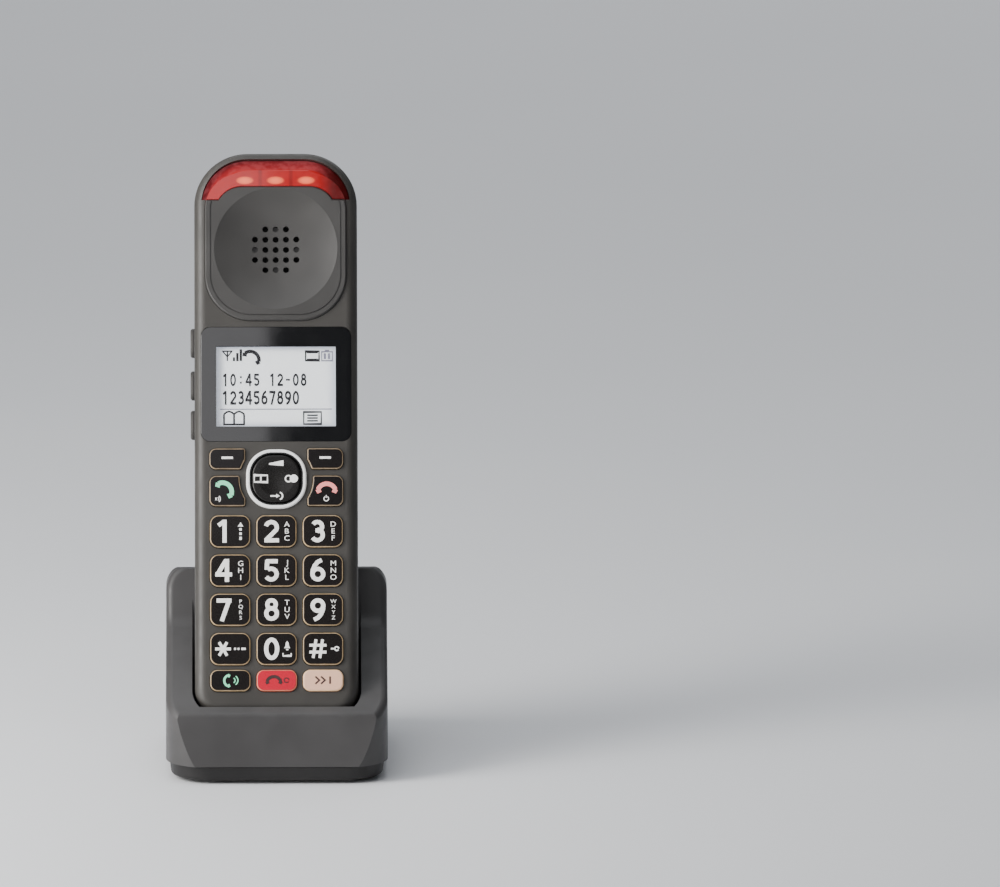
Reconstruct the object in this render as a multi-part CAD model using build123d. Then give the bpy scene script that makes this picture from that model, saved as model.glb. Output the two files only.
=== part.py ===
from build123d import *
from math import cos, radians, sin
import os

# Cordless telephone handset standing in its charging cradle, as separate pieces.
# Cradle frame: X to the right, Y towards the back, Z up, with Y = 0 at the front foot line.
# Handset frame: X to the right, Y towards its back, Z up its length, with Y = 0 at the
# joint between the front and rear cases and Z = 0 at its lower end.  The seated handset
# leans back in the cradle.  At the end everything is moved so that the origin is at the
# middle of the whole object's footprint, on the surface it stands on.  Millimetres.

# ---------------------------------------------------------------- handset: main sizes
WIDTH = 52.0
LENGTH = 182.0
FRONT = 12.0            # front face to parting plane
BACK_LOW = 13.0         # parting plane to back, where the cradle holds it
BACK_HIGH = 17.5        # parting plane to back, over batteries and loudspeaker
SWELL_START = 64.0      # the back starts to swell here
SWELL_END = 104.0
TOP_CORNER = 17.0
LOWER_CORNER = 8.5
FRONT_ROUND = 3.6
BACK_ROUND = 7.4
WALL = 1.8
FACE_WALL = 2.2         # thickness of the front face
PARTING_BEVEL = 0.3
LEAN = 22.0             # degrees back from upright

# ---------------------------------------------------------------- handset: key field
KEY_PITCH_X = 14.75
KEY_PITCH_Z = 12.65
KEY_WIDTH = 12.8
KEY_HEIGHT = 10.4
KEY_CORNER = 2.8
KEY_STAND = 0.9         # keys stand proud of the face
KEY_TRAVEL = 0.5
KEY_GAP = 0.22          # clearance round each key
KEY_EDGE = 0.55
FLANGE = 0.65           # lip that keeps a key behind the face
FLANGE_THICK = 0.6
BOTTOM_ROW_Z = 21.0     # middle of the star, zero and hash row
FUNCTION_ROW_Z = 10.85
FUNCTION_HEIGHT = 6.9
NAV_Z = 75.9
NAV_WIDTH = 15.5
NAV_CORNER = 6.4
NAV_RING = 1.45
NAV_GAP = 0.35
SOFT_Z = 82.4
SOFT_HEIGHT = 6.7
CALL_Z = 72.0
CALL_HEIGHT = 9.8
CALL_OUTER = 21.3       # outer edge of the call and soft keys, from the middle
CALL_INNER = 9.9
CALL_CLEAR = 11.7       # radius that the call and soft keys leave round the navigator

# ---------------------------------------------------------------- handset: display, earpiece
WINDOW_WIDTH = 47.8
WINDOW_LOW = 88.2
WINDOW_HIGH = 125.1
WINDOW_THICK = 1.4
LCD_WIDTH = 38.1
LCD_HEIGHT = 26.0
LCD_Z = 106.0
EAR_Z = 150.6
EAR_PANEL_HALF = 22.6
EAR_PANEL_LOW = 127.2
EAR_PANEL_HIGH = 175.0
EAR_PANEL_STAND = 0.8
DISH_RADIUS = 19.7
DISH_DEPTH = 3.2
HOLE_PITCH = 3.3
HOLE_RADIUS = 0.95
LENS_RIM = 2.4          # case rim left round the light lens
LENS_LOW = 166.6
LENS_PANEL_TOP = 170.9  # earpiece panel meets the lens here, at the middle
LENS_PANEL_HALF = 19.6  # and here at the sides, under a round corner
LENS_PANEL_CORNER = 9.0
PANEL_GROOVE = 0.4      # fine line that runs inside the panel's edge

# ---------------------------------------------------------------- cradle
CRADLE_WIDTH = 70.6
CRADLE_DEPTH = 84.0
CRADLE_CORNER = 14.0
BAND_TOP = 5.4          # top of the base cover's visible band
CASE_LOW = 5.6
FOOT_GAP = 0.8          # feet stand this much below the base cover
LIP_Y, LIP_Z = 5.0, 21.8
VALLEY_Y, VALLEY_Z = 44.0, 43.5
WING_Y, WING_Z = 53.0, 58.8
CRADLE_WALL = 2.2
POCKET_GAP = 0.9
POCKET_WALL = 2.0
SEAT_Y, SEAT_Z = 8.2, 21.1   # front lower edge of the seated handset
FLOOR_GAP = 0.25             # handset end to pocket floor

# ---------------------------------------------------------------- shared fits and fixings
FIT = 0.15
SCREW_RADIUS = 1.25
SCREW_HEAD = 2.4

lean = radians(LEAN)
origin_y = SEAT_Y + FRONT * cos(lean)
origin_z = SEAT_Z - FRONT * sin(lean)
SEATED = Location((0, origin_y, origin_z), (-LEAN, 0, 0))
pieces = {}             # node name: shape in the cradle frame


# ---------------------------------------------------------------- helpers
def slab(sketch, y_front, y_back):
    """A shape drawn in the front view (X across, Z up), thick from y_front to y_back."""
    return extrude(Plane.XZ.offset(-y_back) * sketch, amount=y_back - y_front)


def plate(sketch, z_low, z_high):
    """A shape drawn in plan, thick from z_low to z_high."""
    return Pos(0, 0, z_low) * extrude(sketch, amount=z_high - z_low)


def block(x, y, z, width, depth, height):
    """A box by its middle and size."""
    return Pos(x, y, z) * Box(width, depth, height)


def rod_y(x, z, radius, y_front, y_back):
    """A cylinder along Y."""
    return slab(Pos(x, z) * Circle(radius), y_front, y_back)


def rod_z(x, y, radius, z_low, z_high):
    """A cylinder along Z."""
    return plate(Pos(x, y) * Circle(radius), z_low, z_high)


def rim(faces):
    """The edges that bound a group of faces, without the edges between them."""
    edges = [edge for face in faces for edge in face.edges()]
    return [e for e in edges if sum(e.is_same(other) for other in edges) == 1]


def fillet_facing(shape, axis, level, radius):
    """Rounds the outline of the flat faces at one level along an axis."""
    faces = shape.faces().filter_by(Plane.XZ if axis == Axis.Y else Plane.XY)
    faces = [f for f in faces if abs(f.center().dot(Vector(axis.direction)) - level) < 1e-3]
    return fillet(rim(faces), radius)


def seated(name, shape):
    """Keeps a handset piece, put where the seated handset holds it."""
    pieces[name] = SEATED * shape


def cradle(name, shape):
    """Keeps a cradle piece."""
    pieces[name] = shape


# ---------------------------------------------------------------- handset casing
def body_outline(inset=0.0):
    """Front view of the handset, drawn in by an inset."""
    blank = Pos(0, LENGTH / 2) * Rectangle(WIDTH - 2 * inset, LENGTH - 2 * inset)
    blank = fillet(blank.vertices().sort_by(Axis.Y)[:2], LOWER_CORNER - inset)
    return fillet(blank.vertices().sort_by(Axis.Y)[-2:], TOP_CORNER - inset)


def bevel_parting(form):
    """A small bevel round the parting plane, so that the joint shows as a groove."""
    faces = [f for f in form.faces().filter_by(Plane.XZ) if abs(f.center().Y) < 1e-3]
    return chamfer(rim(faces), PARTING_BEVEL)


def front_form(inset=0.0, face=0.0):
    """The front half as a solid, drawn in from the sides and from the face."""
    form = slab(body_outline(inset), -FRONT + face, 0)
    return fillet_facing(form, Axis.Y, -FRONT + face, FRONT_ROUND - 0.8 * inset)


def rear_form(inset=0.0):
    """The rear half as a solid; its back swells towards the top."""
    low, high = BACK_LOW - inset, BACK_HIGH - inset
    prism = slab(body_outline(inset), 0, high + 1)
    over = 5.0
    straight = Polyline((low, SWELL_START), (low, -over), (-1, -over),
                        (-1, LENGTH + over), (high, LENGTH + over), (high, SWELL_END))
    swell = Spline((low, SWELL_START), (high, SWELL_END), tangents=[(0, 1), (0, 1)])
    profile = extrude(Plane.YZ * make_face(straight + swell), amount=WIDTH, both=True)
    form = prism & profile
    back = [f for f in form.faces() if f.normal_at().Y > 0.7]
    return fillet(rim(back), BACK_ROUND - inset)


def key_outline(x, z, width=KEY_WIDTH, height=KEY_HEIGHT, corner=KEY_CORNER):
    return Pos(x, z) * RectangleRounded(width, height, corner)


def beside_navigator(z, height, side, grow=0.0):
    """Outline of a call or soft key: a rounded block cut back round the navigator."""
    middle = side * (CALL_OUTER + CALL_INNER) / 2
    width = CALL_OUTER - CALL_INNER
    blank = Pos(middle, z) * Rectangle(width, height)
    blank -= Pos(0, NAV_Z) * Circle(CALL_CLEAR)
    outer = [v for v in blank.vertices() if abs(v.X) > CALL_OUTER - 0.1]
    blank = fillet(outer, 2.2)
    inner = [v for v in blank.vertices() if abs(v.X) < CALL_INNER + 3]
    blank = fillet(inner, 0.7)
    return offset(blank, grow) if grow else blank


number_names = [["key_star", "key_0", "key_hash"], ["key_7", "key_8", "key_9"],
                ["key_4", "key_5", "key_6"], ["key_1", "key_2", "key_3"]]
key_shapes = {}         # name: function of grow that gives the outline
for row, names in enumerate(number_names):
    for column, name in enumerate(names):
        key_x = (column - 1) * KEY_PITCH_X
        key_z = BOTTOM_ROW_Z + row * KEY_PITCH_Z
        key_shapes[name] = lambda grow, x=key_x, z=key_z: key_outline(
            x, z, KEY_WIDTH + 2 * grow, KEY_HEIGHT + 2 * grow, KEY_CORNER + grow)
for column, name in enumerate(["mute_key", "block_key", "slow_key"]):
    key_x = (column - 1) * KEY_PITCH_X
    key_shapes[name] = lambda grow, x=key_x: key_outline(
        x, FUNCTION_ROW_Z, KEY_WIDTH + 2 * grow, FUNCTION_HEIGHT + 2 * grow, 2.4 + grow)
for name, z, height, side in [("soft_key_left", SOFT_Z, SOFT_HEIGHT, -1),
                              ("soft_key_right", SOFT_Z, SOFT_HEIGHT, 1),
                              ("talk_key", CALL_Z, CALL_HEIGHT, -1),
                              ("end_key", CALL_Z, CALL_HEIGHT, 1)]:
    key_shapes[name] = lambda grow, z=z, height=height, side=side: beside_navigator(
        z, height, side, grow)

INNER_FACE = -FRONT + FACE_WALL
flange_front = INNER_FACE + 0.1
flange_back = flange_front + FLANGE_THICK
mat_front = flange_back + KEY_TRAVEL + 0.1
mat_back = mat_front + 0.9
board_front = mat_back + 0.5
board_back = board_front + 1.0


def window_outline(grow=0.0):
    height = WINDOW_HIGH - WINDOW_LOW + 2 * grow
    middle = (WINDOW_HIGH + WINDOW_LOW) / 2
    return Pos(0, middle) * RectangleRounded(WINDOW_WIDTH + 2 * grow, height, 3.0 + grow)


def ear_panel_outline(grow=0.0):
    """Raised earpiece panel: round shoulders below, wide round corners above."""
    middle = (EAR_PANEL_LOW + EAR_PANEL_HIGH) / 2
    blank = Pos(0, middle) * Rectangle(2 * EAR_PANEL_HALF, EAR_PANEL_HIGH - EAR_PANEL_LOW)
    blank = fillet(blank.vertices().sort_by(Axis.Y)[:2], 15.0)
    blank = fillet(blank.vertices().sort_by(Axis.Y)[-2:], 12.0)
    return offset(blank, grow) if grow else blank


def above_panel(grow=0.0):
    """Round-shouldered arch that the earpiece panel fills, under the light lens."""
    half, corner = LENS_PANEL_HALF - grow, LENS_PANEL_CORNER - grow
    height = LENS_PANEL_TOP - grow - EAR_Z + 10
    arch = Pos(0, EAR_Z - 10 + height / 2) * Rectangle(2 * half, height)
    return fillet(arch.vertices().sort_by(Axis.Y)[-2:], corner)


def lens_zone(grow=0.0):
    """Front view of the light lens: the band over the earpiece, down to both sides."""
    band = body_outline(LENS_RIM - grow)
    keep = Pos(0, LENGTH) * Rectangle(WIDTH, 2 * (LENGTH - LENS_LOW + grow))
    return (band & keep) - above_panel(grow)


def pin_holes(pattern, y_front, y_back, radius=HOLE_RADIUS):
    """Round holes on a square grid round the earpiece's middle."""
    holes = [rod_y(column * HOLE_PITCH, EAR_Z + row * HOLE_PITCH, radius, y_front, y_back)
             for row, columns in pattern.items() for column in columns]
    return Compound(holes)


open_holes = {-2: (-1, 1), -1: (-2, -1, 0, 1, 2), 0: (-1, 0, 1), 1: (-2, -1, 0, 1, 2),
              2: (-1, 1)}
blind_holes = {-2: (0,), 0: (-2, 2), 2: (0,)}


screw_spots = [(-14.0, 4.0), (14.0, 4.0), (-18.6, 128.2), (18.6, 128.2)]
HEAD_SEAT = 4.4         # screw heads seat this far behind the parting plane
HEAD_THICK = 1.6
SCREW_REACH = -6.0
PILOT_GAP = 0.05


def front_case():
    case = bevel_parting(front_form()) - front_form(WALL, FACE_WALL)
    case -= slab(body_outline(WALL), -1.0, 0.5)
    for x, z in screw_spots:
        case += rod_y(x, z, 2.4, INNER_FACE - 0.2, -0.1)
        case -= rod_y(x, z, SCREW_RADIUS + PILOT_GAP, SCREW_REACH - 1, 1)
    case -= slab(window_outline(FIT), -FRONT - 1, -FRONT + WINDOW_THICK)
    case -= slab(Pos(0, LCD_Z) * Rectangle(LCD_WIDTH + 3, LCD_HEIGHT + 3), -FRONT, -1)
    for outline in key_shapes.values():
        case -= slab(outline(KEY_GAP), -FRONT - 1, -1)
    case -= slab(ring_outline(0.1), -FRONT - 1, -1)
    case -= slab(ear_panel_outline(FIT), -FRONT - 1, -1)
    case -= slab(lens_zone(FIT), -FRONT - 1, LENS_BACK + FIT)
    case -= rod_z(0, -6.0, 0.6, -1, WALL + 1)
    return case


def ring_outline(grow=0.0):
    """Outer edge of the ring round the navigator."""
    width = NAV_WIDTH + 2 * (NAV_GAP + NAV_RING + grow)
    corner = NAV_CORNER + NAV_GAP + NAV_RING + grow
    return Pos(0, NAV_Z) * RectangleRounded(width, width, corner)


def navigator_outline(grow=0.0):
    width = NAV_WIDTH + 2 * grow
    return Pos(0, NAV_Z) * RectangleRounded(width, width, NAV_CORNER + grow)


# ---------------------------------------------------------------- handset: rear case, battery bay
COVER_WIDTH = 37.0
COVER_LOW, COVER_HIGH = 67.0, 124.0
COVER_THICK = 1.4
BAY_HALF = 11.8
BAY_LOW, BAY_HIGH = 71.0, 119.5
BAY_FLOOR = -2.2
CELL_RADIUS = 5.2
CELL_LENGTH = 44.5
CELL_Y = 3.5
CELL_X = 5.7
SPEAKER_Z = 146.0
SPEAKER_RADIUS = 13.0
PAD_X, PAD_Y = 7.0, 3.6
button_spots = {"tone_button": 122.9, "volume_button": 109.1, "boost_button": 96.3}
BUTTON_Y = 4.7
BUTTON_WIDTH, BUTTON_HEIGHT = 4.6, 9.4
BUTTON_STAND = 1.3


def cover_outline(grow=0.0):
    height = COVER_HIGH - COVER_LOW + 2 * grow
    middle = (COVER_HIGH + COVER_LOW) / 2
    return Pos(0, middle) * RectangleRounded(COVER_WIDTH + 2 * grow, height, 5 + grow)


def bay_outline(grow=0.0):
    height = BAY_HIGH - BAY_LOW + 2 * grow
    return Pos(0, (BAY_HIGH + BAY_LOW) / 2) * Rectangle(2 * (BAY_HALF + grow), height)


def button_outline(z, grow=0.0):
    """A side button seen from the side: Y across, Z up."""
    return Pos(BUTTON_Y, z) * RectangleRounded(
        BUTTON_WIDTH + 2 * grow, BUTTON_HEIGHT + 2 * grow, 2.2 + grow)


def sideways(sketch, x_low, x_high):
    """A shape drawn in the side view (Y across, Z up), thick from x_low to x_high."""
    return extrude(Plane.YZ.offset(x_low) * sketch, amount=x_high - x_low)


def rear_case():
    hollow = rear_form(WALL)
    case = bevel_parting(rear_form()) - hollow
    case -= slab(cover_outline(FIT), 5, 30)
    under_cover = hollow - rear_form(WALL + 1.2)
    case += under_cover & slab(cover_outline(2.0), 5, 30)
    tub = slab(bay_outline(1.2), BAY_FLOOR - 1.0, 30) & (hollow + slab(bay_outline(1.2), -9, 0.1))
    case += tub
    case -= slab(bay_outline(), BAY_FLOOR, 30)
    for x, z in screw_spots:
        post = rod_y(x, z, 3.4, 0.1, 30) & (hollow + rod_y(x, z, 3.4, 0, 1))
        case += post
        case -= rod_y(x, z, SCREW_HEAD + 0.3, HEAD_SEAT, 30)
        case -= rod_y(x, z, SCREW_RADIUS + PILOT_GAP, -1, HEAD_SEAT + 1)
    for z in button_spots.values():
        case -= sideways(button_outline(z, KEY_GAP), -WIDTH, -WIDTH / 2 + 4)
    for x in (-PAD_X, PAD_X):
        case -= block(x, PAD_Y, 0, 5.2, 3.2, 6)
    grille = {-2: (-1, 0, 1), -1: (-2, -1, 0, 1, 2), 0: (-2, -1, 0, 1, 2),
              1: (-2, -1, 0, 1, 2), 2: (-1, 0, 1)}
    for row, columns in grille.items():
        for column in columns:
            case -= rod_y(column * 3.2, SPEAKER_Z + row * 3.2, 0.85, 5, 30)
    return case


# ---------------------------------------------------------------- handset: light lens and earpiece
LENS_BACK = -2.6
LENS_SHOULDER = -8.8     # the lens's outer edge; from here its face slopes forward
LENS_SLOPE = 47.0        # degrees
LED_X = (-9.8, 0.0, 9.8)
LED_Z = 174.8


def panel_band(grow=0.0):
    """The part of the raised panel's outline that the lens fills."""
    keep = Pos(0, LENGTH) * Rectangle(WIDTH, 2 * (LENGTH - LENS_LOW + grow))
    return (ear_panel_outline(grow) & keep) - above_panel(grow)


def light_lens():
    outer = body_outline(LENS_RIM)
    slope = extrude(Plane.XZ.offset(-LENS_SHOULDER) * outer, amount=3.6, taper=LENS_SLOPE)
    lens = (slope + slab(outer, LENS_SHOULDER, LENS_BACK)) & slab(lens_zone(), -20, 0)
    lens += slab(panel_band(), -FRONT - EAR_PANEL_STAND, LENS_SHOULDER)
    lens -= slab(lens_zone(-1.5), LENS_SHOULDER + 0.2, 0)
    return lens - slab(panel_band(-1.0), -FRONT + 1.3, LENS_SHOULDER + 1)


def light_reflector():
    """White channel behind the lens, with one open cell for each light."""
    channel = slab(lens_zone(-1.7), -8.3, -4.6)
    spots = [(x, LED_Z + 0.2, 8.6) for x in LED_X] + [(-18.4, 170.8, 4.4), (18.4, 170.8, 4.4)]
    for x, z, width in spots:
        cell = (Pos(x, z) * RectangleRounded(width, 4.6, 1.0)) & lens_zone(-2.5)
        channel -= slab(cell, -9, -5.4)
    for x in LED_X:
        channel -= block(x, -5, LED_Z, 3.5, 2, 2.7)
    return channel


def ear_panel():
    panel = slab(ear_panel_outline() - panel_band(FIT), -FRONT - EAR_PANEL_STAND, INNER_FACE)
    sphere = (DISH_RADIUS ** 2 + DISH_DEPTH ** 2) / (2 * DISH_DEPTH)
    front = -FRONT - EAR_PANEL_STAND
    rim_faces = [f for f in panel.faces().filter_by(Plane.XZ) if abs(f.center().Y - front) < 1e-3]
    panel = chamfer(rim(rim_faces), 0.45)
    groove = ear_panel_outline(-1.6) - ear_panel_outline(-1.6 - PANEL_GROOVE)
    groove &= Pos(0, LENS_LOW - 50) * Rectangle(WIDTH, 100)
    panel -= slab(groove, front - 0.1, front + 0.3)
    floor = front + DISH_DEPTH
    boss = rod_y(0, EAR_Z, DISH_RADIUS - 2.5, INNER_FACE - 0.5, floor + 1.6)
    panel += boss
    panel -= Pos(0, floor - sphere, EAR_Z) * Sphere(sphere)
    panel -= pin_holes(open_holes, -20, 0)
    return panel - pin_holes(blind_holes, -20, floor + 0.7)



# ---------------------------------------------------------------- handset: keys
def keycap(outline):
    cap = slab(outline(0), -FRONT - KEY_STAND, flange_front + 0.1)
    cap = fillet_facing(cap, Axis.Y, -FRONT - KEY_STAND, KEY_EDGE)
    return cap + slab(outline(FLANGE), flange_front, flange_back)


def navigator_ring():
    ring = slab(ring_outline(), -FRONT - KEY_STAND, flange_front + 0.1)
    ring = fillet_facing(ring, Axis.Y, -FRONT - KEY_STAND, 0.5)
    ring += slab(ring_outline(0.6), flange_front, flange_back)
    return ring - slab(navigator_outline(NAV_GAP), -20, 0)


NAV_FRONT = -FRONT - KEY_STAND - 0.2
NAV_LIP_FRONT = flange_back + 0.5
NAV_LIP_BACK = NAV_LIP_FRONT + 0.6


def navigator_key():
    """Four-way key: a shallow dish in front, a lip that keeps it behind its ring."""
    key = slab(navigator_outline(), NAV_FRONT, NAV_LIP_BACK)
    key = fillet_facing(key, Axis.Y, NAV_FRONT, 0.8)
    key -= Pos(0, NAV_FRONT - 39.6, NAV_Z) * Sphere(40.0)
    return key + slab(navigator_outline(1.0), NAV_LIP_FRONT, NAV_LIP_BACK)


def side_button(z):
    outer = -WIDTH / 2 - BUTTON_STAND
    inner = -WIDTH / 2 + WALL
    cap = sideways(button_outline(z), outer, inner + 0.2)
    faces = [f for f in cap.faces().filter_by(Plane.YZ) if abs(f.center().X - outer) < 1e-3]
    cap = fillet(rim(faces), 0.8)
    return cap + sideways(button_outline(z, 0.6), inner + 0.1, inner + 0.7)


# ---------------------------------------------------------------- handset: inner pieces
MAT_LOW, MAT_HIGH = 7.2, 87.4
BOARD_HIGH = 137.0
SHIELD_LOW, SHIELD_HIGH = 84.0, 118.0


def field_outline(low, high, half_width):
    return Pos(0, (low + high) / 2) * RectangleRounded(2 * half_width, high - low, 2.0)


def key_spots():
    """Middle of the contact under each key."""
    return [outline(0).center() for outline in key_shapes.values()]


def key_mat():
    mat = slab(field_outline(MAT_LOW, MAT_HIGH, 22.6), mat_front, mat_back)
    return mat - slab(ring_outline(), -20, 0)


def key_domes():
    sheet = slab(field_outline(MAT_LOW, MAT_HIGH, 22.2), board_front - 0.14, board_front - 0.02)
    for spot in key_spots():
        sheet += rod_y(spot.X, spot.Y, 2.5, board_front - 0.42, board_front - 0.05)
    for x, z in [(-5.6, 0), (5.6, 0), (0, -5.6), (0, 5.6)]:
        sheet += rod_y(x, NAV_Z + z, 1.7, board_front - 0.3, board_front - 0.05)
    return sheet


def main_board():
    board = slab(body_outline(WALL + 0.5), board_front, board_back)
    board &= slab(field_outline(MAT_LOW, BOARD_HIGH, 30), -20, 0)
    for x, z in screw_spots[2:]:
        board -= rod_y(x, z, 2.9, -20, 0)
    return board


def shield_can():
    outline = field_outline(SHIELD_LOW, SHIELD_HIGH, 17)
    can = slab(outline, board_back + 0.02, board_back + 2.4)
    return can - slab(field_outline(SHIELD_LOW + 0.4, SHIELD_HIGH - 0.4, 16.6), -20, board_back + 2.0)


def antenna():
    """Flat folded strip over the board, up and across the top of the handset."""
    strip = block(-14, -3.25, 149.0, 3.4, 0.5, 32.6)
    strip += block(0, -3.25, 163.6, 31.4, 0.5, 3.4)
    return strip + block(-14, -4.65, 134.2, 3.4, 2.8, 3.0)


def receiver():
    unit = rod_y(0, EAR_Z, 10.0, -7.1, -3.6) + rod_y(0, EAR_Z, 7.0, -3.7, -2.2)
    return unit - rod_y(0, EAR_Z, 7.2, -8, -6.6)


def loudspeaker():
    front = BACK_HIGH - WALL - 0.2
    unit = rod_y(0, SPEAKER_Z, SPEAKER_RADIUS, front - 2.4, front)
    unit += rod_y(0, SPEAKER_Z, 7.5, front - 5.0, front - 2.3)
    return unit - Pos(0, front + 13.2, SPEAKER_Z) * Sphere(14.8)


CELL_LOW = BAY_LOW + 2.7


def battery_cells():
    cells = []
    for x, way in [(-CELL_X, 1), (CELL_X, -1)]:
        can = fillet(Cylinder(CELL_RADIUS, CELL_LENGTH - 1).edges(), 0.4)
        button = Pos(0, 0, CELL_LENGTH / 2 - 0.8) * Cylinder(1.9, 1.6)
        cell = Pos(0, 0, -0.5) * can + button
        turn = Location((0, 0, 0), (0 if way > 0 else 180, 0, 0))
        cells.append(Pos(x, CELL_Y, CELL_LOW + CELL_LENGTH / 2) * turn * cell)
    return Compound(cells)


def battery_contacts():
    """Sprung plates at both ends of the battery bay."""
    plates = []
    for x, way in [(-CELL_X, 1), (CELL_X, -1)]:
        for end in (-1, 1):
            wall = BAY_LOW if end < 0 else BAY_HIGH
            cell_end = CELL_LOW if end < 0 else CELL_LOW + CELL_LENGTH
            sheet = block(x, CELL_Y, wall - end * 0.25, 9.6, 9.0, 0.4)
            reach = abs(cell_end - wall) - 0.35
            spring = Pos(x, CELL_Y, wall - end * (0.35 + reach / 2)) * Cylinder(2.4, reach - 0.1)
            plates.append(sheet + spring)
    return Compound(plates)


def battery_cover():
    prism = slab(cover_outline(), 5, 30)
    cover = (rear_form() - rear_form(COVER_THICK)) & prism
    hollow = rear_form(COVER_THICK - 0.2)
    for z in (86.0, 107.0):
        cover += block(0, 15, z, 19, 11.4, 1.3) & hollow
    grip = rear_form() - rear_form(0.45)
    for step in range(5):
        cover -= grip & block(0, 15, 72.0 + 2.2 * step, 15 - abs(step - 2) * 1.5, 20, 0.9)
    return cover


def charge_pads():
    pads = []
    for x in (-PAD_X, PAD_X):
        pad = block(x, PAD_Y, 1.2, 4.8, 2.8, 1.8)
        pads.append(pad + block(x, PAD_Y, 2.2, 6.2, 4.2, 0.6))
    return Compound(pads)


def handset_screws():
    screws = []
    for x, z in screw_spots:
        head = rod_y(x, z, SCREW_HEAD, HEAD_SEAT, HEAD_SEAT + HEAD_THICK)
        head -= block(x, HEAD_SEAT + HEAD_THICK, z, 2.8, 1.4, 0.7)
        head -= block(x, HEAD_SEAT + HEAD_THICK, z, 0.7, 1.4, 2.8)
        screws.append(head + rod_y(x, z, SCREW_RADIUS, SCREW_REACH, HEAD_SEAT + 0.1))
    return Compound(screws)


seated("handset_front_case", front_case())
seated("handset_rear_case", rear_case())
seated("ringer_light_lens", light_lens())
seated("light_reflector", light_reflector())
lights = block(0, -4.1, LED_Z, 26, 0.8, 3.6)
for led_x in LED_X:
    lights += block(led_x, -5.3, LED_Z, 3.0, 2.0, 2.2)
seated("ringer_leds", lights)
seated("earpiece_panel", ear_panel())
seated("earpiece_gasket", rod_y(0, EAR_Z, 10.0, -7.95, -7.15) - rod_y(0, EAR_Z, 8.0, -9, -6))
seated("earpiece_receiver", receiver())
seated("display_window", slab(window_outline(), -FRONT - 1, -FRONT + WINDOW_THICK - 0.05)
       & front_form())
seated("lcd_module", block(0, -9.8, LCD_Z, LCD_WIDTH + 2.4, 1.5, LCD_HEIGHT + 2.4))
seated("lcd_backlight", block(0, -8.1, LCD_Z, LCD_WIDTH + 2.0, 1.8, LCD_HEIGHT + 2.0))
for name, outline in key_shapes.items():
    seated(name, keycap(outline))
seated("navigator_ring", navigator_ring())
seated("navigator_key", navigator_key())
seated("navigator_pivot", block(0, (NAV_LIP_BACK + board_front) / 2, NAV_Z, 3.0, 0.4, 3.0))
for name, z in button_spots.items():
    seated(name, side_button(z))
seated("key_mat", key_mat())
seated("key_domes", key_domes())
seated("main_board", main_board())
seated("shield_can", shield_can())
seated("antenna", antenna())
seated("microphone", rod_z(0, -6.0, 2.0, 2.0, 3.8))
seated("rear_loudspeaker", loudspeaker())
seated("battery_cells", battery_cells())
seated("battery_contacts", battery_contacts())
seated("battery_cover", battery_cover())
seated("handset_charge_pads", charge_pads())
seated("handset_screws", handset_screws())


# ---------------------------------------------------------------- cradle: casing
BACK_TOP_Y, BACK_TOP_Z = 60.0, 58.0
BACK_FOOT_Z = 24.0
WING_CORNER = 8.0
CASE_EDGE = 2.3         # rounding of the case's upper edges
SCREW_TOP = 12.5
CRADLE_SCREWS = [(-28.0, 22.0), (28.0, 22.0), (-28.0, 62.0), (28.0, 62.0)]
FEET = [(-24.0, 11.0), (24.0, 11.0), (-24.0, 74.0), (24.0, 74.0)]
INLET_X, INLET_Z = 18.0, 12.2
BOARD_POSTS = [(-17.0, 18.0), (19.0, 18.0), (-17.0, 70.0), (8.0, 70.0)]


def plan_outline(inset=0.0):
    return Pos(0, CRADLE_DEPTH / 2) * RectangleRounded(
        CRADLE_WIDTH - 2 * inset, CRADLE_DEPTH - 2 * inset, CRADLE_CORNER - inset)


def cradle_form(inset=0.0, bottom=CASE_LOW):
    """The cradle's outer shape: plan, side profile and front outline taken together."""
    low = bottom - 10
    side = Polyline((0.8, low), (0.8, CASE_LOW), (LIP_Y, LIP_Z), (VALLEY_Y, VALLEY_Z),
                    (WING_Y, WING_Z), (BACK_TOP_Y, BACK_TOP_Z), (CRADLE_DEPTH, BACK_FOOT_Z),
                    (CRADLE_DEPTH, low), close=True)
    side = make_face(side)
    valley = side.vertices().sort_by_distance((VALLEY_Y, VALLEY_Z))[0]
    side = fillet(valley, 10.0)
    ridge = side.vertices().sort_by_distance((BACK_TOP_Y, BACK_TOP_Z))[0]
    side = fillet(ridge, 4.0)
    front = Pos(0, WING_Z - 49) * Rectangle(CRADLE_WIDTH, 100)
    front = fillet(front.vertices().sort_by(Axis.Y)[-2:], WING_CORNER)
    if inset:
        side = offset(side, -inset)
        front = offset(front, -inset)
    form = plate(plan_outline(inset), bottom, 70)
    form &= extrude(Plane.YZ * side, amount=CRADLE_WIDTH, both=True)
    return form & slab(front, -10, CRADLE_DEPTH + 10)


def pocket(grow):
    """Room for the seated handset, open upwards."""
    outline = body_outline(-grow) & Pos(0, 100) * Rectangle(
        100, 200 + 2 * (FLOOR_GAP + grow - POCKET_GAP))
    return SEATED * slab(outline, -FRONT - grow, BACK_LOW + grow)


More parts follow.
